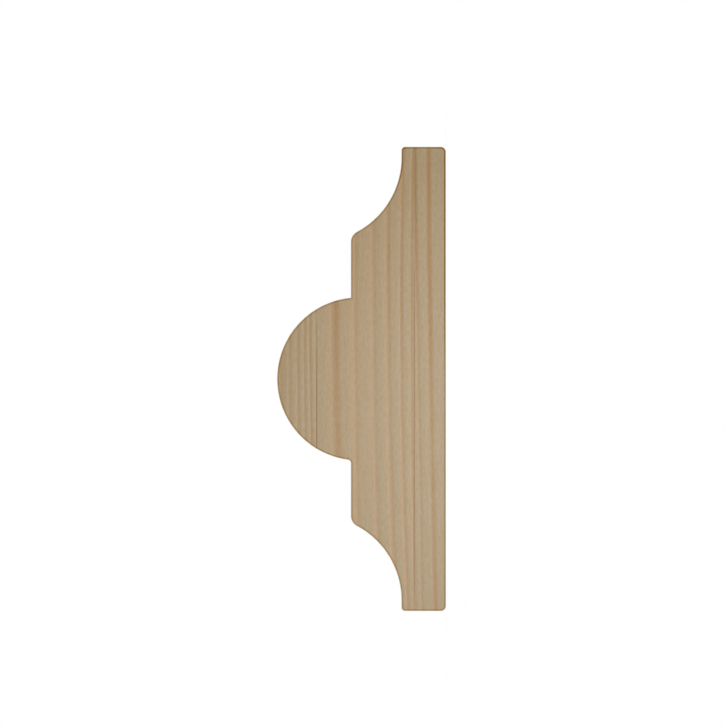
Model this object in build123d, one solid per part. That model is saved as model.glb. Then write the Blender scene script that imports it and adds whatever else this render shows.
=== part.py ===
from build123d import *
from math import sqrt
import os

# Astragal moulding: one piece of planed softwood with a half-round bead standing on two
# flats, a scooped cove outside each flat and a thin square edge outside each cove.
#
# It lies on its flat back. X runs across the width, Y along the length and Z from the back
# up to the crown of the bead. The origin is the middle of the back. Sizes are millimetres.

# The stock
LENGTH = 2400.0
WIDTH = 33.0
THICKNESS = 12.0  # from the back to the crown of the bead

# The worked front, from the outer edges in
EDGE_HEIGHT = 3.15  # from the back to the top of each thin outer edge
EDGE_LAND = 0.75  # the level strip between an outer edge and its cove
COVE_RADIUS = 6.0
FLAT_HEIGHT = 6.75  # from the back to the flats beside the bead
BEAD_RADIUS = 5.8

# The corners, as the cutters leave them
BACK_ARRIS_RADIUS = 0.35
FRONT_ARRIS_RADIUS = 0.25
SHOULDER_RADIUS = 0.8  # where a flat turns down into its cove
BEAD_FOOT_RADIUS = 0.25  # at the foot of the bead on the -X side; the other foot is sharp
SAWN_END_ARRIS = 0.1  # the crisp edge of a cross-cut end, just broken

# Places across the section
EDGE_X = WIDTH / 2
COVE_START_X = EDGE_X - EDGE_LAND
COVE_CENTRE_HEIGHT = EDGE_HEIGHT + COVE_RADIUS
COVE_END_X = COVE_START_X - sqrt(COVE_RADIUS**2 - (COVE_CENTRE_HEIGHT - FLAT_HEIGHT) ** 2)
BEAD_CENTRE_HEIGHT = THICKNESS - BEAD_RADIUS
BEAD_FOOT_X = sqrt(BEAD_RADIUS**2 - (FLAT_HEIGHT - BEAD_CENTRE_HEIGHT) ** 2)


def front_side(side):
    """The outline of one half of the front and its edge; side is 1 for +X and -1 for -X."""
    cove_start = (side * COVE_START_X, EDGE_HEIGHT)
    cove_end = (side * COVE_END_X, FLAT_HEIGHT)
    return [
        Line((side * EDGE_X, 0), (side * EDGE_X, EDGE_HEIGHT)),
        Line((side * EDGE_X, EDGE_HEIGHT), cove_start),
        TangentArc(cove_start, cove_end, tangent=(-side, 0)),
        Line(cove_end, (side * BEAD_FOOT_X, FLAT_HEIGHT)),
    ]


def square_cornered_section():
    """The section as its flats, coves and bead alone would make it, with no corner eased."""
    back = Line((-EDGE_X, 0), (EDGE_X, 0))
    bead = ThreePointArc((BEAD_FOOT_X, FLAT_HEIGHT), (0, THICKNESS), (-BEAD_FOOT_X, FLAT_HEIGHT))
    return make_face([back, *front_side(1), bead, *front_side(-1)])


def ease(section, corners, radius):
    """Rounds the section's corners at the given places."""
    for x, height in corners:
        corner = section.vertices().sort_by_distance((x, height))[0]
        section = fillet(corner, radius)
    return section


def moulding_section():
    """The finished cross-section, drawn flat with its height as the second coordinate."""
    section = square_cornered_section()
    section = ease(section, [(-EDGE_X, 0), (EDGE_X, 0)], BACK_ARRIS_RADIUS)
    section = ease(section, [(-EDGE_X, EDGE_HEIGHT), (EDGE_X, EDGE_HEIGHT)], FRONT_ARRIS_RADIUS)
    section = ease(section, [(-COVE_END_X, FLAT_HEIGHT), (COVE_END_X, FLAT_HEIGHT)], SHOULDER_RADIUS)
    return ease(section, [(-BEAD_FOOT_X, FLAT_HEIGHT)], BEAD_FOOT_RADIUS)


def astragal_moulding():
    """The section carried along the whole length, with both sawn ends' edges broken."""
    length = extrude(Plane.XZ * moulding_section(), amount=LENGTH / 2, both=True)
    ends = length.faces().sort_by(Axis.Y)
    return chamfer([*ends[0].edges(), *ends[-1].edges()], SAWN_END_ARRIS)


os.makedirs("parts", exist_ok=True)
export_step(astragal_moulding(), "parts/astragal_moulding.step")
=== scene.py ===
"""An astragal moulding: one length of planed pine, seen square on to its sawn end.

The moulding lies on its flat back. X runs across its width, Y along its length and Z from the
back to the crown of the bead. Sizes are in metres, and MM turns millimetres into them.
"""
import logging
import math
from collections.abc import Iterable
from dataclasses import dataclass, field
from enum import Enum
from functools import reduce
from typing import TypeAlias

import bmesh
import bpy
from mathutils import Matrix, Vector


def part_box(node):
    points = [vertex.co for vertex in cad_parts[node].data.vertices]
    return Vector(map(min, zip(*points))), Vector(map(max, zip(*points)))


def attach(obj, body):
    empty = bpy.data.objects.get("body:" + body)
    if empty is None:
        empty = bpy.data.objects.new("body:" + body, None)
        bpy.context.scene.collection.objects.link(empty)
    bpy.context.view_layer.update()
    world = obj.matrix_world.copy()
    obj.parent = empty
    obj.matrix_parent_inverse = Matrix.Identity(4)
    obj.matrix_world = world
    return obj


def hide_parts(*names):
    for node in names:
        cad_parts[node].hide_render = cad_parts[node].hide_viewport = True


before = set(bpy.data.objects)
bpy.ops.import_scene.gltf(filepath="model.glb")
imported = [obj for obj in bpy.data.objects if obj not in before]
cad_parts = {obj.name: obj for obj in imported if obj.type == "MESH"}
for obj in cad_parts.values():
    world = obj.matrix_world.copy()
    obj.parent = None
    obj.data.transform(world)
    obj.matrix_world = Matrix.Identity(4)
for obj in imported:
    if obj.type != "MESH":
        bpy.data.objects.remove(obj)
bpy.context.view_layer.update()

Point = tuple[float, float]
Triple = tuple[float, float, float]
Colour = Triple
Amount: TypeAlias = "Signal | float"
Value: TypeAlias = "Signal | float | Triple"

MM = 0.001
NODE = "astragal_moulding"
BODY = "root"
MAP = "OFBake"

# White, and also what a colour is multiplied by where it stays as it is
WHITE: Colour = (1.0, 1.0, 1.0)
# The middle value of a noise node
NOISE_MIDDLE = 0.5
# Vertices of the outline that lie closer than this are one
MERGE_DISTANCE = 0.001 * MM
# How squarely a face has to look along Y to be part of a sawn end, and of a broken arris
END_FACING = 0.95
ARRIS_FACING = 0.3
# A vertex belongs to an end if it is nearer to its plane than this share of the arris
END_MARGIN = 0.2
# Faces that meet at less than this are shaded as one smooth surface
SMOOTH_ANGLE = math.radians(30)

log = logging.getLogger("astragal_moulding")


class Surface(Enum):
    """The kinds of surface that cutting leaves on the stock."""

    PLANED = "planed_face"
    SAWN = "sawn_end"
    # A band inside each sawn end's arris, darkened as painted shade of the eased edge, partly a
    # bruised edge
    RIM = "bruised_rim"
    ARRIS = "broken_arris"

    @property
    def number(self) -> int:
        """Its place among the piece's material slots."""
        return list(Surface).index(self)


class Tone(Enum):
    """What a dark line of growth looks like."""

    PLAIN = "pinkish, with a pale edge before it"
    RESINOUS = "orange brown, with no pale edge"


def srgb(red: int, green: int, blue: int) -> Colour:
    """Turns a colour as a screen shows it into the linear one that a shader takes.

    Args:
        red: The red share, from 0 to 255.
        green: The green share, from 0 to 255.
        blue: The blue share, from 0 to 255.

    Returns:
        The three linear shares, from 0 to 1.
    """

    def linear(share: float) -> float:
        """Undoes the screen's curve on one share."""
        return share / 12.92 if share <= 0.04045 else ((share + 0.055) / 1.055) ** 2.4

    return linear(red / 255), linear(green / 255), linear(blue / 255)


def has_three_parts(value: Value) -> bool:
    """Tells whether a value is a vector or a colour.

    Args:
        value: A signal, a number or three numbers.

    Returns:
        True if it has three parts.
    """
    if isinstance(value, Signal):
        return value.socket.type in {"VECTOR", "RGBA"}
    return isinstance(value, tuple)


class Signal:
    """An output in a node tree. Python's operators on it add the nodes that work them out."""

    def __init__(self, graph: "Graph", socket: bpy.types.NodeSocket) -> None:
        """Wraps one output socket of the graph."""
        self.graph = graph
        self.socket = socket

    def work_out(self, operation: str, first: Value, second: Value) -> "Signal":
        """Adds one Math node, or a Vector Math node where either value has three parts.

        Args:
            operation: The node's operation.
            first: Its first value: a signal, a number or three numbers.
            second: Its second value, likewise.

        Returns:
            The node's result.
        """
        vector = any(has_three_parts(value) for value in (first, second))
        kind = "ShaderNodeVectorMath" if vector else "ShaderNodeMath"
        values = {}
        for place, value in enumerate((first, second)):
            plain = vector and isinstance(value, (int, float))
            values[place] = (value,) * 3 if plain else value
        return self.graph.make(kind, {"operation": operation}, values)

    def __add__(self, other: Value) -> "Signal":
        """This signal plus the other value."""
        return self.work_out("ADD", self, other)

    def __radd__(self, other: Value) -> "Signal":
        """The other value plus this signal."""
        return self.work_out("ADD", other, self)

    def __sub__(self, other: Value) -> "Signal":
        """This signal less the other value."""
        return self.work_out("SUBTRACT", self, other)

    def __rsub__(self, other: Value) -> "Signal":
        """The other value less this signal."""
        return self.work_out("SUBTRACT", other, self)

    def __mul__(self, other: Value) -> "Signal":
        """This signal times the other value."""
        return self.work_out("MULTIPLY", self, other)

    def __rmul__(self, other: Value) -> "Signal":
        """The other value times this signal."""
        return self.work_out("MULTIPLY", other, self)


def between_0_and_1(value: Amount) -> Amount:
    """Holds a value between 0 and 1.

    Args:
        value: A signal or a number.

    Returns:
        The same kind of value, held.
    """
    if isinstance(value, Signal):
        settings = {"operation": "ADD", "use_clamp": True}
        return value.graph.make("ShaderNodeMath", settings, {0: value, 1: 0.0})
    return min(1.0, max(0.0, value))


def least(first: Amount, second: Amount) -> Amount:
    """Gives the smaller of two values.

    Args:
        first: A signal or a number.
        second: A value of the same kind.

    Returns:
        The smaller one.
    """
    if isinstance(first, Signal):
        return first.work_out("MINIMUM", first, second)
    return min(first, second)


def greatest(first: Amount, second: Amount) -> Amount:
    """Gives the larger of two values.

    Args:
        first: A signal or a number.
        second: A value of the same kind.

    Returns:
        The larger one.
    """
    if isinstance(first, Signal):
        return first.work_out("MAXIMUM", first, second)
    return max(first, second)


@dataclass(frozen=True)
class Grain:
    """The scale of a smooth random pattern in the wood.

    Attributes:
        scale: How many features it has to the millimetre along each axis.
        detail: How many finer layers it has.
        roughness: How much each finer layer adds, from 0 to 1.
    """

    scale: Triple
    detail: float
    roughness: float = 0.55


class Graph:
    """The node tree of one material or of the world."""

    def __init__(self, tree: bpy.types.NodeTree) -> None:
        """Takes over a tree and empties it."""
        self.tree = tree
        tree.nodes.clear()

    def make(
        self,
        kind: str,
        settings: dict[str, object],
        values: dict[str | int, Value],
        output: str | int = 0,
    ) -> Signal | None:
        """Adds a node, sets it up and gives one of its outputs.

        Args:
            kind: The node's type name.
            settings: Its own settings, such as an operation.
            values: What its sockets take, by name or number: a signal, a number or a tuple.
            output: The name or number of the output wanted.

        Returns:
            That output, or nothing from a node that has none.
        """
        node = self.tree.nodes.new(kind)
        for name, setting in settings.items():
            setattr(node, name, setting)
        for name, value in values.items():
            socket = node.inputs[name]
            if isinstance(value, Signal):
                self.tree.links.new(value.socket, socket)
            elif socket.type == "RGBA":
                socket.default_value = (*value, 1.0)
            else:
                socket.default_value = value
        return Signal(self, node.outputs[output]) if len(node.outputs) else None

    def mix(self, first: Signal | Colour, second: Signal | Colour, share: Signal) -> Signal:
        """Blends a second colour into a first, by a share that is held between 0 and 1."""
        settings = {"data_type": "RGBA", "clamp_factor": True}
        return self.make("ShaderNodeMix", settings, {0: share, 6: first, 7: second}, output=2)

    def noise(self, place: Signal, grain: Grain) -> Signal:
        """Gives a smooth random value about 0, the same each time.

        Args:
            place: Where, in millimetres.
            grain: The pattern's scale.

        Returns:
            The value, mostly within a quarter of 0.
        """
        settings = {"noise_dimensions": "3D"}
        values = {
            "Vector": place * grain.scale,
            "Scale": 1.0,
            "Detail": grain.detail,
            "Roughness": grain.roughness,
        }
        return self.make("ShaderNodeTexNoise", settings, values) - NOISE_MIDDLE


@dataclass(frozen=True)
class Slope:
    """A share that changes evenly along one axis and is held between 0 and 1.

    Attributes:
        start: Where it is 0, in millimetres.
        rate: How much it grows for each millimetre up the axis. Below 0 it grows down the axis.
    """

    start: float
    rate: float

    def share(self, place: Amount) -> Amount:
        """Gives the share at a place along the axis."""
        return between_0_and_1((place - self.start) * self.rate)


@dataclass(frozen=True)
class Corner:
    """A soft-edged corner of the section.

    Attributes:
        across: How it comes in across the width.
        up: How it comes in with the height above the back.
    """

    across: Slope
    up: Slope

    def share(self, x: Signal, z: Signal) -> Signal:
        """Gives how far a point is into the corner, from 0 to 1."""
        return self.up.share(z) * self.across.share(x)


@dataclass(frozen=True)
class Layer:
    """A soft-edged layer of the section, between two heights.

    Attributes:
        low: How it comes in from below.
        high: How it comes in from above.
    """

    low: Slope
    high: Slope

    def share(self, z: Signal) -> Signal:
        """Gives how far a height is into the layer, from 0 to 1."""
        return least(self.low.share(z), self.high.share(z))


@dataclass(frozen=True)
class Swing:
    """A long, even swing of the rings along the stock.

    Attributes:
        reach: How far it takes them each way, in millimetres.
        length: How long one whole swing is, in millimetres.
    """

    reach: float
    length: float


@dataclass(frozen=True)
class DarkLine:
    """One year's dark wood, which shows on the sawn end as a line along the back.

    Coming down from the bead's side the year's pale wood gets paler, turns dark, and ends in the
    next year's early wood.

    Attributes:
        height: Where it is darkest, in millimetres above the back at the middle of the width.
        lead: How far the wood pales before it, in millimetres.
        rise: How far it then takes to turn dark, in millimetres.
        fall: How far the dark takes to end, in millimetres.
        depth: How dark it gets, from 0 to 1.
        glow: How pale the wood gets before it, from 0 to 1.
        tone: What it looks like.
        tilt: How much it climbs through the rest of the growth for each millimetre towards +X.
        bend: How much it climbs for each square millimetre from the middle.
    """

    height: float
    lead: float
    rise: float
    fall: float
    depth: float
    glow: float = 0.8
    tone: Tone = Tone.PLAIN
    tilt: float = 0.0
    bend: float = 0.0

    def own_level(self, level: Amount, x: Amount) -> Amount:
        """Takes the line's own tilt and bend out of a height in the growth, in millimetres."""
        straight = self.tilt == 0.0 and self.bend == 0.0
        return level if straight else level - x * (x * self.bend + self.tilt)

    def dark_share(self, level: Amount, x: Amount) -> Amount:
        """Gives how much of this line is at a place.

        Args:
            level: Where in the growth, in millimetres: a signal or a number.
            x: The place across the width, likewise.

        Returns:
            The share, from 0 to the line's depth.
        """
        level = self.own_level(level, x)
        rising = between_0_and_1((1.0 + self.height / self.rise) - level * (1.0 / self.rise))
        falling = between_0_and_1(level * (1.0 / self.fall) + (1.0 - self.height / self.fall))
        return least(rising, falling) * self.depth

    def pale_share(self, level: Amount, x: Amount) -> Amount:
        """Gives how far the wood before this line has paled at a place.

        Args:
            level: Where in the growth, in millimetres: a signal or a number.
            x: The place across the width, likewise.

        Returns:
            The share, from 0 to 1.
        """
        level = self.own_level(level, x)
        start = self.height + self.rise + self.lead
        paling = between_0_and_1(start / self.lead - level * (1.0 / self.lead))
        ending = between_0_and_1(level * (1.0 / self.rise) - self.height / self.rise)
        return least(paling * paling, ending) * self.glow


@dataclass(frozen=True)
class Hairline:
    """A fine dark line, straighter than the growth round it.

    Attributes:
        height: Its height above the back in millimetres.
        width: How far it fades out on either side, in millimetres.
        from_x: Where it ends across the width, in millimetres, on the -X side.
        to_x: Where it ends on the +X side, likewise.
        depth: How dark it is, from 0 to 1.
        lean: How much it drops for each millimetre towards +X.
        fade: How far it takes to fade in or out along its length, in millimetres.
    """

    height: float
    width: float
    from_x: float
    to_x: float
    depth: float
    lean: float = 0.0
    fade: float = 2.5


RESINOUS = Tone.RESINOUS
DARK_LINES = (
    DarkLine(-1.45, lead=0.50, rise=0.25, fall=0.20, depth=0.50),
    DarkLine(-0.62, lead=0.60, rise=0.25, fall=0.20, depth=0.60),
    DarkLine(1.04, lead=0.30, rise=0.24, fall=0.25, depth=0.85, glow=0.25, tone=RESINOUS, tilt=0.002),
    DarkLine(1.91, lead=0.25, rise=0.14, fall=0.20, depth=0.65, glow=0.35, tilt=0.0045, bend=0.0006),
    DarkLine(2.40, lead=0.40, rise=0.15, fall=0.17, depth=0.58, tilt=-0.0075),
    DarkLine(3.12, lead=0.50, rise=0.15, fall=0.20, depth=0.66, tilt=-0.003, bend=-0.0003),
    DarkLine(3.96, lead=0.55, rise=0.27, fall=0.17, depth=0.55, tilt=0.001),
    DarkLine(4.99, lead=0.80, rise=0.26, fall=0.20, depth=0.40, glow=0.60),
    DarkLine(6.36, lead=0.70, rise=0.22, fall=0.28, depth=0.38, glow=0.75, tilt=-0.005),
    DarkLine(7.76, lead=1.00, rise=0.42, fall=0.36, depth=0.80, glow=0.60, tone=RESINOUS),
    DarkLine(9.19, lead=0.20, rise=0.12, fall=0.15, depth=0.30, glow=1.00),
    DarkLine(9.61, lead=0.20, rise=0.12, fall=0.15, depth=0.95),
    DarkLine(10.02, lead=0.35, rise=0.11, fall=0.17, depth=0.73, glow=0.60, tilt=-0.004),
    DarkLine(10.50, lead=0.45, rise=0.12, fall=0.28, depth=0.70, glow=0.55, tilt=-0.008),
    DarkLine(11.09, lead=0.30, rise=0.15, fall=0.28, depth=0.60, glow=0.60, tilt=-0.010),
    DarkLine(11.72, lead=0.50, rise=0.20, fall=0.35, depth=0.60, glow=0.30),
    DarkLine(12.70, lead=0.60, rise=0.25, fall=0.20, depth=0.60),
    DarkLine(13.60, lead=0.60, rise=0.25, fall=0.20, depth=0.50),
)

HAIRLINES = (
    Hairline(2.23, width=0.065, from_x=-17.5, to_x=9.5, depth=0.60, lean=0.001),
    Hairline(2.16, width=0.22, from_x=8.0, to_x=18.5, depth=0.28),
    Hairline(9.19, width=0.065, from_x=-14.0, to_x=5.6, depth=0.85, fade=8.0),
    Hairline(11.41, width=0.15, from_x=-4.0, to_x=4.0, depth=0.12),
)


@dataclass(frozen=True)
class Growth:
    """How the tree's rings pass through the stock.

    They lie almost flat on the back, lean a little, bow a little, and wander as they run down
    the length.

    Attributes:
        lines: The dark lines of growth.
        hairlines: The fine lines.
        lean: How much they drop for each millimetre towards -X.
        bow: How much they drop for each square millimetre from the middle, near the back.
        more_bow: How much more they do so higher up.
        bow_slope: How that comes in with the height above the back.
        end_y: Where the wandering starts, in millimetres: the end of the stock at -Y.
        ripple: The small waves of the rings.
        end_ripple: How strong these are at the -Y end.
        more_ripple: How much stronger they are further on.
        ripple_slope: How that comes in with the distance from the -Y end.
        swings: The long waves of the rings.
    """

    lines: tuple[DarkLine, ...] = DARK_LINES
    hairlines: tuple[Hairline, ...] = HAIRLINES
    lean: float = 0.0145
    bow: float = 0.00028
    more_bow: float = 0.0007
    bow_slope: Slope = Slope(start=1.0, rate=0.48)
    end_y: float = -1200.0
    ripple: Grain = Grain(scale=(0.12, 0.003, 0.08), detail=1.0)
    end_ripple: float = 0.06
    more_ripple: float = 0.5
    ripple_slope: Slope = Slope(start=0.0, rate=0.004)
    swings: tuple[Swing, ...] = (Swing(reach=0.7, length=1700.0), Swing(reach=0.25, length=610.0))

    def level(self, x: Amount, z: Amount) -> Amount:
        """Gives the height in millimetres that a point's wood has at the middle of the width."""
        bow = self.bow + self.more_bow * self.bow_slope.share(z)
        return z - x * self.lean + x * x * bow

    def wander(self, graph: Graph, place: Signal, y: Signal) -> Signal:
        """Gives how far the rings have strayed by a point, in millimetres; hardly at the -Y end.

        Args:
            graph: The material's tree.
            place: The point, in millimetres.
            y: Its place along the length, in millimetres.

        Returns:
            The distance.
        """
        along = y - self.end_y
        strength = self.end_ripple + self.more_ripple * self.ripple_slope.share(along)
        strayed = graph.noise(place, self.ripple) * strength
        for swing in self.swings:
            turn = along * (2 * math.pi / swing.length)
            sine = graph.make("ShaderNodeMath", {"operation": "SINE"}, {0: turn})
            strayed = strayed + sine * swing.reach
        return strayed

    def dark_share(self, level: Amount, x: Amount, tone: Tone) -> Amount:
        """Gives how much dark wood of one tone is at a place in the growth, from 0 to 1."""
        lines = (line for line in self.lines if line.tone is tone)
        return reduce(greatest, (line.dark_share(level, x) for line in lines))

    def pale_share(self, level: Amount, x: Amount) -> Amount:
        """Gives how far the wood there has paled towards the next dark line, from 0 to 1."""
        return reduce(greatest, (line.pale_share(level, x) for line in self.lines))


@dataclass(frozen=True)
class Pine:
    """Planed and sawn pine, in the muted tan of the real end.

    Attributes:
        growth: How the rings pass through it.
        early: The wide, greyer wood of each year.
        pale: The paler, pinker wood just before a dark line.
        dark: The darkest wood of a plain line.
        resin: The darkest wood of a resinous line.
        hairline: The colour of the fine lines.
        patches: Where the dark lines show more and less.
        patchiness: How strongly they do so.
        bold_slope: How they get bolder towards +X.
        boldness: How much bolder they get.
        hairline_patches: Where the hairlines show more and less.
        hairline_patchiness: How strongly they do so.
        painted_shade: What the colour is multiplied by where the painted shade is deepest.
        best_lit_x: Where across the width the painted light is strongest, in millimetres.
        shade_reach: How far across from there the painted shade is deepest, in millimetres.
        more_shade_up: How much deeper the painted shade gets for each millimetre above the back.
        rosy: What the colour is multiplied by in the rosy layer.
        rosy_layer: The pinker wood level with the bead's foot.
        dull: What it is multiplied by in the dull layer.
        dull_layer: The greyer wood of the bead.
        rim: What it is multiplied by along the rim of an end: painted shade of the eased edge, with
            some bruising.
        deep_rim_shade: The same, where the painted shade on the rim is deepest.
        deep_arris: What it is multiplied by on the broken arris where that is darkest.
        back_shade_corner: The part by the back, next to the floor, where the rim's painted shade and
            the arris are darkest.
        land_shade_corner: The part by the land on the +X side where the rim's painted shade is
            deepest too.
        planed: What it is multiplied by on a planed face.
        fibres: The fine fibres.
        mottle: How much they vary each part of the colour.
        streaks: The longer streaks.
        streak: How much they do so.
        fibre_depth: How far the fibres stand out of the surface.
        fibre_strength: How strongly that shows.
        sawn_roughness: How rough a sawn end is.
        planed_roughness: How rough a planed face is.
        sawn_gloss: How much a sawn end mirrors.
        planed_gloss: How much a planed face does.
    """

    growth: Growth = Growth()
    early: Colour = srgb(184, 166, 139)
    pale: Colour = srgb(197, 171, 140)
    dark: Colour = srgb(179, 150, 115)
    resin: Colour = srgb(178, 146, 109)
    hairline: Colour = srgb(140, 106, 72)
    patches: Grain = Grain(scale=(0.12, 0.01, 1.1), detail=2.0)
    patchiness: float = 0.8
    bold_slope: Slope = Slope(start=0.0, rate=0.125)
    boldness: float = 0.6
    hairline_patches: Grain = Grain(scale=(0.2, 0.01, 0.5), detail=1.0)
    hairline_patchiness: float = 0.4
    # Painted shade: the colour darkens away from the best lit part of the end, across the width and
    # up towards the crown
    painted_shade: Colour = (0.785, 0.75, 0.66)
    best_lit_x: float = -4.4
    shade_reach: float = 20.6
    more_shade_up: float = 0.068
    rosy: Colour = (1.027, 1.006, 1.0)
    rosy_layer: Layer = Layer(low=Slope(start=4.9, rate=1.2), high=Slope(start=8.6, rate=-1.0))
    dull: Colour = (0.997, 1.022, 1.055)
    dull_layer: Layer = Layer(low=Slope(start=8.8, rate=1.5), high=Slope(start=11.6, rate=-1.5))
    # Painted shade along each end's rim, deepest by the back next to the floor; partly a bruised edge
    rim: Colour = (0.70, 0.62, 0.46)
    deep_rim_shade: Colour = (0.42, 0.255, 0.055)
    deep_arris: Colour = (1.3, 1.08, 0.78)
    back_shade_corner: Corner = Corner(across=Slope(start=0.5, rate=0.17), up=Slope(start=1.2, rate=-1.5))
    land_shade_corner: Corner = Corner(across=Slope(start=12.5, rate=0.4), up=Slope(start=2.1, rate=1.2))
    planed: Colour = (1.22, 1.18, 1.12)
    fibres: Grain = Grain(scale=(2.6, 0.08, 8.0), detail=1.0)
    mottle: Colour = (0.25, 0.26, 0.29)
    streaks: Grain = Grain(scale=(0.5, 0.02, 5.5), detail=2.0)
    streak: Colour = (0.08, 0.16, 0.46)
    fibre_depth: float = 0.02 * MM
    fibre_strength: float = 0.5
    sawn_roughness: float = 0.85
    planed_roughness: float = 0.58
    sawn_gloss: float = 0.2
    planed_gloss: float = 0.4

    def material(self, surface: Surface) -> bpy.types.Material:
        """Makes the material of one kind of surface.

        Args:
            surface: Which surface.

        Returns:
            The material.
        """
        material = bpy.data.materials.new(surface.value)
        material.use_nodes = True
        graph = Graph(material.node_tree)
        place = graph.make("ShaderNodeTexCoord", {}, {}, output="Object") * (1.0 / MM)
        x, y, z = (graph.make("ShaderNodeSeparateXYZ", {}, {0: place}, output=n) for n in range(3))
        level = self.growth.level(x, z) + self.growth.wander(graph, place, y)
        colour = self._wood(graph, place, x, level)
        colour = self._fine_lines(graph, place, colour, x, z)
        # Painted shade across the end, then the hue of its layers
        colour = self._paint_shade_and_hue(graph, colour, x, z)
        fibres = graph.noise(place, self.fibres)
        streaks = graph.noise(place, self.streaks)
        colour = colour * (fibres * self.mottle + streaks * self.streak + WHITE)
        match surface:
            case Surface.RIM:
                # Painted shade on the rim, deepest by the back and by the +X land
                deep = greatest(self.back_shade_corner.share(x, z), self.land_shade_corner.share(x, z))
                colour = colour * graph.mix(self.rim, self.deep_rim_shade, deep)
            case Surface.ARRIS:
                deep = self.back_shade_corner.share(x, z)
                colour = colour * graph.mix(WHITE, self.deep_arris, deep)
            case Surface.PLANED:
                colour = colour * self.planed
        planed = surface is Surface.PLANED
        grooves = {
            "Height": fibres,
            "Strength": self.fibre_strength,
            "Distance": self.fibre_depth,
        }
        values = {
            "Base Color": colour,
            "Roughness": self.planed_roughness if planed else self.sawn_roughness,
            "Specular IOR Level": self.planed_gloss if planed else self.sawn_gloss,
            "Normal": graph.make("ShaderNodeBump", {}, grooves),
        }
        shader = graph.make("ShaderNodeBsdfPrincipled", {}, values)
        graph.make("ShaderNodeOutputMaterial", {}, {"Surface": shader})
        return material

    def _wood(self, graph: Graph, place: Signal, x: Signal, level: Signal) -> Signal:
        """Colours the wood by its height in the growth.

        Args:
            graph: The material's tree.
            place: The point, in millimetres.
            x: Its place across the width, in millimetres.
            level: Its height in the growth, in millimetres.

        Returns:
            The colour.
        """
        uneven = graph.noise(place, self.patches) * self.patchiness + 1.0
        strength = uneven * (1.0 + self.bold_slope.share(x) * self.boldness)
        colour = graph.mix(self.early, self.pale, self.growth.pale_share(level, x))
        plain = self.growth.dark_share(level, x, Tone.PLAIN) * strength
        colour = graph.mix(colour, self.dark, plain)
        resinous = self.growth.dark_share(level, x, Tone.RESINOUS) * strength
        return graph.mix(colour, self.resin, resinous)

    def _fine_lines(
        self, graph: Graph, place: Signal, colour: Signal, x: Signal, z: Signal
    ) -> Signal:
        """Draws the hairlines over the wood.

        Args:
            graph: The material's tree.
            place: The point, in millimetres.
            colour: The wood's colour.
            x: The point's place across the width, in millimetres.
            z: Its height above the back, in millimetres.

        Returns:
            The colour with the hairlines.
        """
        uneven = graph.noise(place, self.hairline_patches) * self.hairline_patchiness + 1.0
        for line in self.growth.hairlines:
            above = z + x * line.lean - line.height
            away = graph.make("ShaderNodeMath", {"operation": "ABSOLUTE"}, {0: above})
            across = between_0_and_1(1.0 - away * (1.0 / line.width))
            starts = between_0_and_1((x - line.from_x) * (1.0 / line.fade))
            ends = between_0_and_1((line.to_x - x) * (1.0 / line.fade))
            share = across * starts * ends * uneven * line.depth
            colour = graph.mix(colour, self.hairline, share)
        return colour

    def _paint_shade_and_hue(self, graph: Graph, colour: Signal, x: Signal, z: Signal) -> Signal:
        """Paints shade deepening towards the +X edge and the crown, and turns the hue a little.

        Args:
            graph: The material's tree.
            colour: The wood's colour.
            x: The point's place across the width, in millimetres.
            z: Its height above the back, in millimetres.

        Returns:
            The colour with the tone.
        """
        across = (x - self.best_lit_x) * (1.0 / self.shade_reach)
        # Painted shade: darker away from the best lit side and towards the crown
        colour = graph.mix(colour, colour * self.painted_shade, across * across + z * self.more_shade_up)
        hue = graph.mix(WHITE, self.rosy, self.rosy_layer.share(z))
        return colour * graph.mix(hue, self.dull, self.dull_layer.share(z))


class OutlinePen:
    """Draws an outline in edit mode across Y, as straight runs and arcs from one vertex."""

    def __init__(self, start: Point, y: float, sag: float) -> None:
        """Puts the first vertex down and leaves it selected.

        Args:
            start: Its X and Z.
            y: The Y of the whole outline.
            sag: How far an arc's edges may lie inside the true arc.
        """
        self.place = start
        self.sag = sag
        bpy.ops.mesh.primitive_plane_add(size=MM, location=(start[0], y, start[1]))
        bpy.ops.object.transform_apply(location=True, rotation=True, scale=True)
        bpy.ops.object.mode_set(mode="EDIT")
        bpy.ops.mesh.select_all(action="SELECT")
        bpy.ops.mesh.merge(type="CENTER")
        bpy.ops.mesh.select_mode(type="VERT")
        bpy.ops.mesh.select_all(action="SELECT")

    def run_to(self, end: Point) -> None:
        """Draws a straight run to a point.

        Args:
            end: Where the run ends.
        """
        across, up = end[0] - self.place[0], end[1] - self.place[1]
        bpy.ops.mesh.extrude_region_move(TRANSFORM_OT_translate={"value": (across, 0.0, up)})
        self.place = end

    def arc_to(self, end: Point, centre: Point) -> None:
        """Draws the shorter arc to a point about a centre.

        Args:
            end: Where the arc ends.
            centre: The middle of its circle.
        """
        start_angle = math.atan2(self.place[1] - centre[1], self.place[0] - centre[0])
        end_angle = math.atan2(end[1] - centre[1], end[0] - centre[0])
        turn = math.remainder(end_angle - start_angle, 2 * math.pi)
        radius = math.dist(self.place, centre)
        steps = math.ceil(abs(turn) / (2 * math.acos(1 - self.sag / radius)))
        bpy.ops.mesh.spin(
            steps=max(2, steps),
            angle=turn,
            center=(centre[0], 0.0, centre[1]),
            axis=(0.0, 1.0, 0.0),
        )
        self.place = end

    def close(self) -> None:
        """Joins the last vertex to the first and fills the outline."""
        bpy.ops.mesh.select_all(action="SELECT")
        bpy.ops.mesh.remove_doubles(threshold=MERGE_DISTANCE)
        bpy.ops.mesh.select_all(action="SELECT")
        bpy.ops.mesh.edge_face_add()


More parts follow.
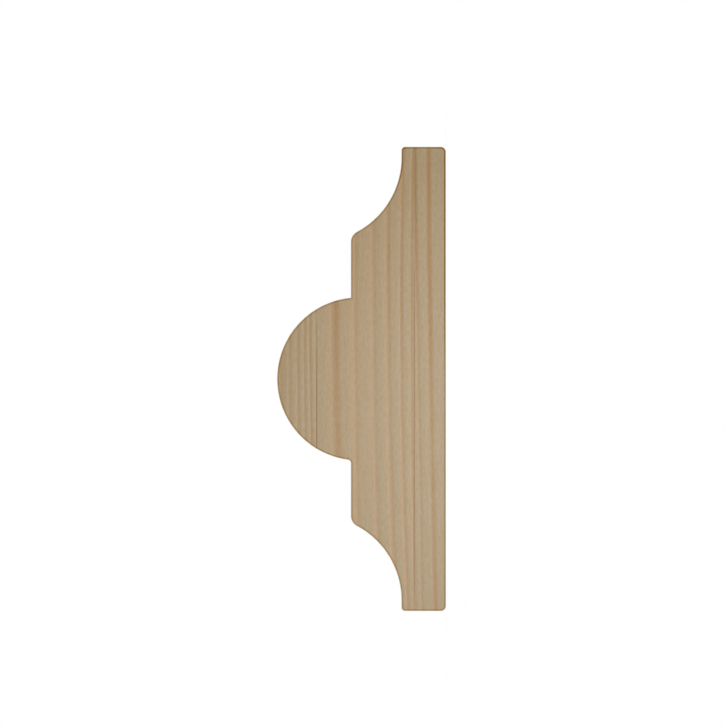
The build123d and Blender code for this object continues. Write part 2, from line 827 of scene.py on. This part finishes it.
@dataclass(frozen=True)
class Section:
    """The moulding's cross-section. It is the same on both sides but for one foot of the bead.

    Attributes:
        width: Across the back.
        thickness: From the back to the crown of the bead.
        edge_height: From the back to the top of each thin outer edge.
        edge_land: The level strip between an outer edge and its cove.
        cove_radius: The scoop outside each flat.
        flat_height: From the back to the flats beside the bead.
        bead_radius: The bead's own radius.
        back_arris: The rounding along the back's edges.
        front_arris: The rounding along the thin outer edges.
        shoulder: The rounding where a flat turns down into its cove.
        bead_foot: The rounding at the foot of the bead on the -X side.
        sag: How far an arc's edges may lie inside the true arc.
    """

    width: float
    thickness: float
    edge_height: float = 3.15 * MM
    edge_land: float = 0.75 * MM
    cove_radius: float = 6.0 * MM
    flat_height: float = 6.75 * MM
    bead_radius: float = 5.8 * MM
    back_arris: float = 0.35 * MM
    front_arris: float = 0.25 * MM
    shoulder: float = 0.8 * MM
    bead_foot: float = 0.25 * MM
    sag: float = 0.003 * MM

    @property
    def edge_x(self) -> float:
        """Half the width."""
        return self.width / 2

    @property
    def cove_centre(self) -> Point:
        """The middle of the cove's circle on the +X side."""
        return self.edge_x - self.edge_land, self.edge_height + self.cove_radius

    @property
    def shoulder_centre(self) -> Point:
        """The middle of the shoulder's circle on the +X side.

        Returns:
            Its X and Z.
        """
        cove_x, cove_z = self.cove_centre
        z = self.flat_height - self.shoulder
        reach = self.cove_radius + self.shoulder
        return cove_x - math.sqrt(reach**2 - (cove_z - z) ** 2), z

    @property
    def shoulder_start(self) -> Point:
        """Where the cove runs into the shoulder on the +X side.

        Returns:
            Its X and Z.
        """
        share = self.cove_radius / (self.cove_radius + self.shoulder)
        (cove_x, cove_z), (x, z) = self.cove_centre, self.shoulder_centre
        return cove_x + (x - cove_x) * share, cove_z + (z - cove_z) * share

    @property
    def bead_centre(self) -> Point:
        """The middle of the bead's circle."""
        return 0.0, self.thickness - self.bead_radius

    @property
    def sharp_foot(self) -> Point:
        """Where the bead meets the flat on the +X side."""
        rise = self.flat_height - self.bead_centre[1]
        return math.sqrt(self.bead_radius**2 - rise**2), self.flat_height

    @property
    def foot_centre(self) -> Point:
        """The middle of the rounding's circle at the foot of the bead on the -X side.

        Returns:
            Its X and Z.
        """
        z = self.flat_height + self.bead_foot
        reach = self.bead_radius + self.bead_foot
        return -math.sqrt(reach**2 - (z - self.bead_centre[1]) ** 2), z

    @property
    def foot_start(self) -> Point:
        """Where the bead runs into that rounding.

        Returns:
            Its X and Z.
        """
        share = self.bead_radius / (self.bead_radius + self.bead_foot)
        (middle_x, middle_z), (x, z) = self.bead_centre, self.foot_centre
        return middle_x + (x - middle_x) * share, middle_z + (z - middle_z) * share

    def draw(self, y: float) -> None:
        """Draws the filled section across Y, once round from the -X end of the back.

        Args:
            y: Where along the length.
        """
        edge, back, front = self.edge_x, self.back_arris, self.front_arris
        cove, turn, start = self.cove_centre, self.shoulder_centre, self.shoulder_start
        top, land = self.edge_height, self.cove_centre[0]
        pen = OutlinePen((back - edge, 0.0), y, self.sag)
        pen.run_to((edge - back, 0.0))
        pen.arc_to((edge, back), centre=(edge - back, back))
        pen.run_to((edge, top - front))
        pen.arc_to((edge - front, top), centre=(edge - front, top - front))
        pen.run_to((land, top))
        pen.arc_to(start, centre=cove)
        pen.arc_to((turn[0], self.flat_height), centre=turn)
        pen.run_to(self.sharp_foot)
        pen.arc_to((0.0, self.thickness), centre=self.bead_centre)
        pen.arc_to(self.foot_start, centre=self.bead_centre)
        pen.arc_to((self.foot_centre[0], self.flat_height), centre=self.foot_centre)
        pen.run_to((-turn[0], self.flat_height))
        pen.arc_to((-start[0], start[1]), centre=(-turn[0], turn[1]))
        pen.arc_to((-land, top), centre=(-cove[0], cove[1]))
        pen.run_to((front - edge, top))
        pen.arc_to((-edge, top - front), centre=(front - edge, top - front))
        pen.run_to((-edge, back))
        pen.arc_to((back - edge, 0.0), centre=(back - edge, back))
        pen.close()


@dataclass(frozen=True)
class Patch:
    """A rectangle of the square map that a part of the surface is laid out on.

    Attributes:
        left: Where it starts across the map.
        foot: Where it starts up the map.
        width: How wide it is.
        height: How high it is.
    """

    left: float
    foot: float
    width: float
    height: float

    def point(self, across: float, up: float) -> Point:
        """Gives the map's point at these shares of the rectangle's sides."""
        return self.left + self.width * across, self.foot + self.height * up


NEAR_END = Patch(left=0.005, foot=0.005, width=0.86, height=0.3127)
FAR_END = Patch(left=0.88, foot=0.005, width=0.114, height=0.3135)
NEAR_HALF = Patch(left=0.005, foot=0.335, width=0.99, height=0.31)
FAR_HALF = Patch(left=0.005, foot=0.67, width=0.99, height=0.31)


@dataclass
class Moulding:
    """The length of stock, its two sawn ends and its finish.

    Attributes:
        low: The lowest corner of the CAD solid.
        high: Its highest corner.
        wood: What it is made of.
        arris: How much the sawn ends' edges are broken.
        rim: How wide the rim inside them is, which carries painted shade and some bruising.
        relief: How far the soft wood of a sawn end lies below the hard.
        bays: How many equal stretches the length is made in.
        column: How far apart the ends are cut across, to carry the relief.
        heart: A height on the middle line from which the whole outline can be seen.
    """

    low: Vector
    high: Vector
    wood: Pine = field(default_factory=Pine)
    arris: float = 0.055 * MM
    rim: float = 0.065 * MM
    relief: float = 0.02 * MM
    bays: int = 24
    column: float = 1.5 * MM
    heart: float = 3.0 * MM

    @property
    def section(self) -> Section:
        """The section, as wide and as thick as the CAD solid."""
        return Section(width=self.high.x - self.low.x, thickness=self.high.z - self.low.z)

    def build(self) -> bpy.types.Object:
        """Makes the moulding's mesh and dresses it.

        Returns:
            The finished piece.
        """
        bpy.ops.object.select_all(action="DESELECT")
        self.section.draw(self.low.y + self.arris)
        for surface in Surface:
            bpy.context.object.data.materials.append(self.wood.material(surface))
        self._carry_along()
        self._break_arrises()
        self._cut_ends()
        piece = bpy.context.object
        bpy.ops.object.mode_set(mode="OBJECT")
        piece.name = piece.data.name = "pine_moulding"
        self._raise_hard_wood(piece)
        self._lay_out_map(piece)
        bpy.ops.object.shade_smooth_by_angle(angle=SMOOTH_ANGLE)
        return piece

    def _carry_along(self) -> None:
        """Extrudes the drawn section along the whole length, in equal bays."""
        bay = (self.high.y - self.low.y - 2 * self.arris) / self.bays
        for _ in range(self.bays):
            bpy.ops.mesh.extrude_region_move(TRANSFORM_OT_translate={"value": (0.0, bay, 0.0)})
        bpy.ops.mesh.select_all(action="SELECT")
        bpy.ops.mesh.normals_make_consistent(inside=False)

    @staticmethod
    def _select_ends() -> None:
        """Selects the faces that look along Y, at both ends."""
        mesh = bmesh.from_edit_mesh(bpy.context.object.data)
        bpy.ops.mesh.select_mode(type="FACE")
        for face in mesh.faces:
            face.select_set(abs(face.normal.y) > END_FACING)
        bmesh.update_edit_mesh(bpy.context.object.data)

    def _break_arrises(self) -> None:
        """Chamfers the edge round each sawn end, marks off the rim and sorts all the faces."""
        self._select_ends()
        bpy.ops.mesh.inset(thickness=self.arris, depth=self.arris)
        bpy.ops.mesh.inset(thickness=self.rim)
        mesh = bmesh.from_edit_mesh(bpy.context.object.data)
        for face in mesh.faces:
            facing = abs(face.normal.y)
            if face.select:
                surface = Surface.SAWN
            elif facing > END_FACING:
                surface = Surface.RIM
            else:
                surface = Surface.ARRIS if facing > ARRIS_FACING else Surface.PLANED
            face.material_index = surface.number

    def _cut_ends(self) -> None:
        """Cuts both ends into strips along the growth and into columns across it."""
        growth = self.wood.growth
        for line in growth.lines:
            along_growth = Vector((growth.lean + line.tilt, 0.0, -1.0))
            for level in (line.height - line.fall, line.height, line.height + line.rise):
                self._bisect_ends(Vector((0.0, 0.0, level * MM)), along_growth)
        count = int(self.section.width / self.column)
        for number in range(1, count):
            x = self.low.x + self.section.width * number / count
            self._bisect_ends(Vector((x, 0.0, 0.0)), Vector((1.0, 0.0, 0.0)))

    def _bisect_ends(self, place: Vector, normal: Vector) -> None:
        """Cuts both ends' faces along the plane through a place and square to a normal."""
        self._select_ends()
        bpy.ops.mesh.bisect(plane_co=place, plane_no=normal)

    def _raise_hard_wood(self, piece: bpy.types.Object) -> None:
        """Sinks the soft wood of each sawn end, so that the dark lines stand as fine ridges.

        Args:
            piece: The moulding.
        """
        growth = self.wood.growth
        for name, end_y, inwards in (("near", self.low.y, 1.0), ("far", self.high.y, -1.0)):
            group = piece.vertex_groups.new(name=name)
            for vertex in piece.data.vertices:
                if abs(vertex.co.y - end_y) < END_MARGIN * self.arris:
                    x, z = vertex.co.x / MM, vertex.co.z / MM
                    level = growth.level(x, z)
                    hard = max(growth.dark_share(level, x, tone) for tone in Tone)
                    group.add([vertex.index], 1.0 - hard, "REPLACE")
            modifier = piece.modifiers.new(name, "DISPLACE")
            modifier.direction = "Y"
            modifier.mid_level = 0.0
            modifier.strength = inwards * self.relief
            modifier.vertex_group = name
            bpy.ops.object.modifier_apply(modifier=name)
            piece.vertex_groups.remove(piece.vertex_groups[name])

    def _lay_out_map(self, piece: bpy.types.Object) -> None:
        """Lays the surface out on one square map, with no part over another.

        The end at -Y takes the foot of the map and the other end its corner. The long sides are
        unrolled, each half of the length in a strip of its own.

        Args:
            piece: The moulding.
        """
        mesh = piece.data
        layer = mesh.uv_layers.new(name=MAP)
        planed = Surface.PLANED.number
        distances = self._measure_round(piece)
        girth = max(distances.values())
        size = self.high - self.low
        for face in mesh.polygons:
            near = face.center.y < 0.0
            places = [mesh.vertices[number].co for number in face.vertices]
            round_it = [distances.get(self._spot(corner), 0.0) for corner in places]
            furthest = max(round_it)
            for loop, corner, distance in zip(face.loop_indices, places, round_it):
                across = (corner.x - self.low.x) / size.x
                up = (corner.z - self.low.z) / size.z
                if face.material_index == planed:
                    over_seam = girth if furthest - distance > girth / 2 else 0.0
                    along = abs(corner.y) / size.y * 2
                    half = NEAR_HALF if near else FAR_HALF
                    point = half.point(along, (distance + over_seam) / girth)
                else:
                    point = NEAR_END.point(across, up) if near else FAR_END.point(up, across)
                layer.data[loop].uv = point

    def _measure_round(self, piece: bpy.types.Object) -> dict[Point, float]:
        """Measures how far round the outline each of its corners lies.

        Args:
            piece: The moulding.

        Returns:
            The distance for each corner's X and Z, as _spot gives them.
        """
        heart = Vector((0.0, 0.0, self.heart))
        planed = Surface.PLANED.number
        outline = {}
        for face in piece.data.polygons:
            if face.material_index == planed:
                for number in face.vertices:
                    corner = piece.data.vertices[number].co
                    outline[self._spot(corner)] = corner.copy()
        order = sorted(outline, key=lambda spot: math.atan2(*(outline[spot] - heart).zx))
        distances = {order[0]: 0.0}
        for before, spot in zip(order, order[1:]):
            step = (outline[spot] - outline[before]).xz.length
            distances[spot] = distances[before] + step
        return distances

    @staticmethod
    def _spot(place: Vector) -> Point:
        """Names a corner of the outline by its X and Z, in whole tenths of a micrometre."""
        return round(place.x / MM, 4), round(place.z / MM, 4)


@dataclass(frozen=True)
class Sun:
    """A broad, soft lamp that lights the whole length alike.

    Attributes:
        name: What it is called.
        strength: How strong it is.
        aim: Which way its light goes.
        softness: How wide it looks from the object, in degrees.
    """

    name: str
    strength: float
    aim: Triple
    softness: float = 50.0

    def build(self) -> None:
        """Hangs the lamp."""
        data = bpy.data.lights.new(self.name, "SUN")
        data.energy = self.strength
        data.angle = math.radians(self.softness)
        lamp = bpy.data.objects.new(self.name, data)
        lamp.rotation_euler = Vector(self.aim).to_track_quat("-Z", "Y").to_euler()
        bpy.context.collection.objects.link(lamp)


@dataclass(frozen=True)
class Studio:
    """The pale floor, the soft light and the camera.

    Attributes:
        end_y: The sawn end that the camera faces.
        view_width: How much of the end's plane the square picture takes in.
        view_middle: The point of that plane at the picture's middle.
        eye: The camera's X and Z, just above the floor and in line with the back.
        lens: The lens, in millimetres.
        sensor: The width of the film, in millimetres.
        nearest: The nearest that the camera sees.
        furthest: The furthest that it does.
        floor_size: The floor's side.
        floor_colour: The floor's own colour.
        floor_glow: What is added to that where the floor is seen, so that it shows white.
        sky: The world's strength as a light.
        suns: The lamps.
    """

    end_y: float
    view_width: float = 51.484 * MM
    view_middle: Point = (1.205 * MM, 5.957 * MM)
    eye: Point = (1.205 * MM, 0.05 * MM)
    lens: float = 200.0
    sensor: float = 36.0
    nearest: float = 0.01
    furthest: float = 100.0
    floor_size: float = 40.0
    floor_colour: Colour = (0.8, 0.8, 0.8)
    floor_glow: float = 0.23
    sky: float = 0.5
    suns: tuple[Sun, ...] = (
        Sun("key", strength=1.53, aim=(0.55, 1.0, -1.0)),
        Sun("fill", strength=0.6, aim=(-0.8, 0.3, -0.9)),
    )

    def build(self) -> None:
        """Sets the stage."""
        self._make_camera()
        self._make_floor()
        self._make_world()
        for sun in self.suns:
            sun.build()
        bpy.context.scene.view_settings.view_transform = "Standard"

    def _make_camera(self) -> None:
        """Puts the camera square on to the end, with +X up and the back to the right."""
        camera = bpy.data.objects.new("camera", bpy.data.cameras.new("camera"))
        bpy.context.collection.objects.link(camera)
        distance = self.view_width * self.lens / self.sensor
        rise = self.view_middle[1] - self.eye[1]
        away = math.sqrt(distance**2 - rise**2)
        eye = Vector((self.eye[0], self.end_y - away, self.eye[1]))
        aim = (Vector((self.view_middle[0], self.end_y, self.view_middle[1])) - eye).normalized()
        up = Vector((1.0, 0.0, 0.0))
        right = aim.cross(up)
        turn = Matrix((right, up, -aim)).transposed().to_4x4()
        camera.matrix_world = Matrix.Translation(eye) @ turn
        camera.data.lens = self.lens
        camera.data.sensor_width = self.sensor
        camera.data.clip_start = self.nearest
        camera.data.clip_end = self.furthest
        bpy.context.scene.camera = camera

    @staticmethod
    def _seen(graph: Graph) -> Signal:
        """Gives 1 on a ray that shows the background, by sight, mirror or glass, and else 0."""
        rays = ("Is Camera Ray", "Is Glossy Ray", "Is Transmission Ray")
        return reduce(greatest, (graph.make("ShaderNodeLightPath", {}, {}, ray) for ray in rays))

    def _make_floor(self) -> None:
        """Lays a pale floor that shows white where no shadow falls on it."""
        bpy.ops.mesh.primitive_plane_add(size=self.floor_size, location=(0.0, 0.0, 0.0))
        floor = bpy.context.object
        floor.name = "floor"
        material = bpy.data.materials.new("pale_floor")
        material.use_nodes = True
        graph = Graph(material.node_tree)
        matte = graph.make("ShaderNodeBsdfDiffuse", {}, {"Color": self.floor_colour})
        strength = self._seen(graph) * self.floor_glow
        glow = graph.make("ShaderNodeEmission", {}, {"Strength": strength})
        shader = graph.make("ShaderNodeAddShader", {}, {0: matte, 1: glow})
        graph.make("ShaderNodeOutputMaterial", {}, {"Surface": shader})
        floor.data.materials.append(material)

    def _make_world(self) -> None:
        """Makes a world that lights softly and shows white."""
        world = bpy.data.worlds.new("studio")
        world.use_nodes = True
        graph = Graph(world.node_tree)
        strength = self.sky + self._seen(graph) * (1.0 - self.sky)
        glow = graph.make("ShaderNodeBackground", {}, {"Color": WHITE, "Strength": strength})
        graph.make("ShaderNodeOutputWorld", {}, {"Surface": glow})
        bpy.context.scene.world = world


def main() -> None:
    """Builds the studio and the moulding."""
    logging.basicConfig(level=logging.INFO, format="%(name)s: %(message)s")
    low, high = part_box(NODE)
    Studio(end_y=low.y).build()
    piece = Moulding(low=low, high=high).build()
    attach(piece, BODY)
    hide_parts(NODE)
    log.info("%s: %d faces", piece.name, len(piece.data.polygons))


if __name__ == "__main__":
    main()
